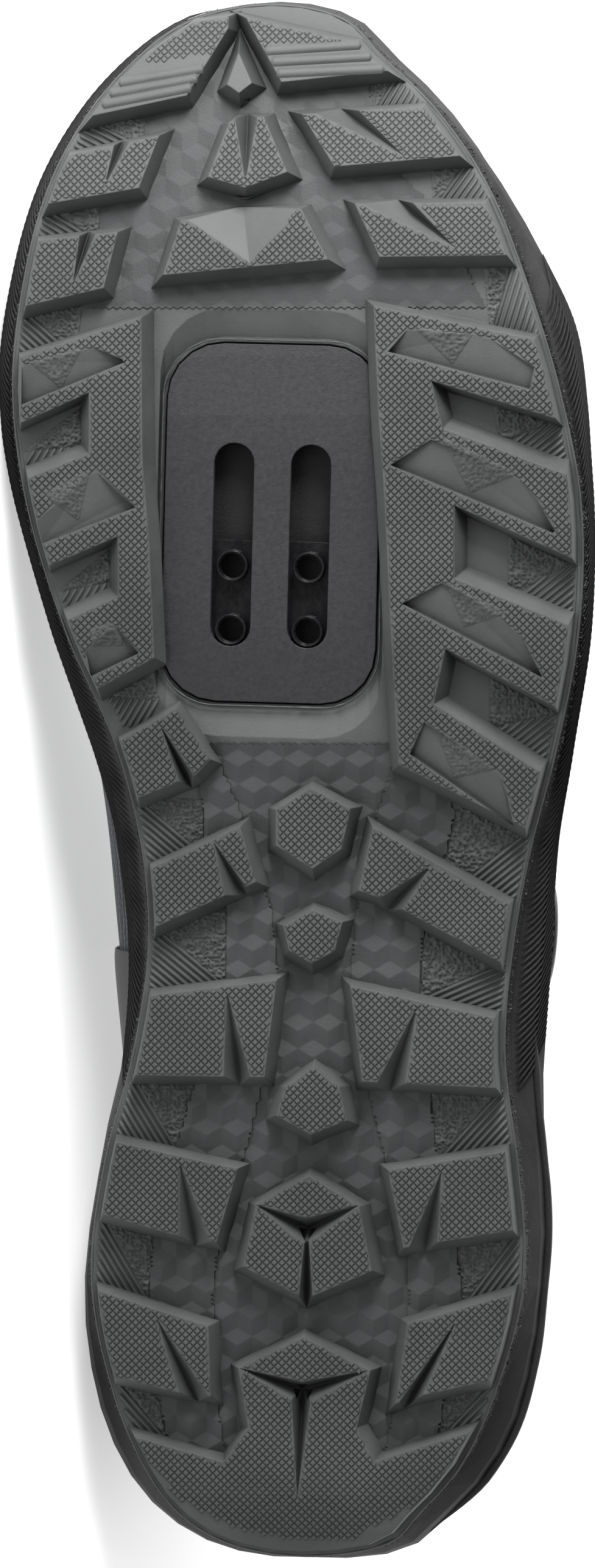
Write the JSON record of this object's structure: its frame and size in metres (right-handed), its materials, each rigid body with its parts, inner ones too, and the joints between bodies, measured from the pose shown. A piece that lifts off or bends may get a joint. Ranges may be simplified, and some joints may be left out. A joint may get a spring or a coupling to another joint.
{
  "type": "cycling shoe",
  "caption": "Left off-road cycling shoe lying on its inner side: lugged rubber sole with a slotted cleat plate, padded tongue, textile upper and a cable dial on the outer quarter.",
  "frame": {"origin": "centre of the bounding box in X and Y, on the surface that the shoe's inner side rests on", "axes": "-X towards the toe, -Y out of the sole, +Z towards the shoe's outer side, which lies up"},
  "size_m": [0.2892, 0.135, 0.1057],
  "materials": {
    "outsole_rubber": "dark grey rubber, matt, with a fine pebble grain",
    "midsole_moulding": "black moulded foam, matt, with fine ribs",
    "cleat_plate_plastic": "near-black filled nylon, matt",
    "cleat_nut_steel": "black oxide, glossy",
    "upper_cloth": "navy-black knitted mesh",
    "overlay_film": "dark grey film, satin",
    "insole_fabric": "black brushed textile",
    "dial_plastic": "black plastic, satin"
  },
  "bodies": {
    "root": {"outsole": "outsole_rubber", "midsole": "midsole_moulding", "cleat_plate": "cleat_plate_plastic", "cleat_nut": "cleat_nut_steel", "insole": "insole_fabric", "upper": "upper_cloth", "counter": "overlay_film", "eyestay": "overlay_film", "tongue": "upper_cloth", "lace_guide_medial_1": "dial_plastic", "lace_guide_medial_2": "dial_plastic", "lace_guide_medial_3": "dial_plastic", "lace_guide_medial_4": "dial_plastic", "lace_guide_lateral_1": "dial_plastic", "lace_guide_lateral_2": "dial_plastic", "lace_guide_lateral_3": "dial_plastic", "lace_guide_lateral_4": "dial_plastic", "lace_cable": "cleat_nut_steel", "dial_base": "overlay_film", "dial_knob": "dial_plastic"}
  },
  "joints": []
}
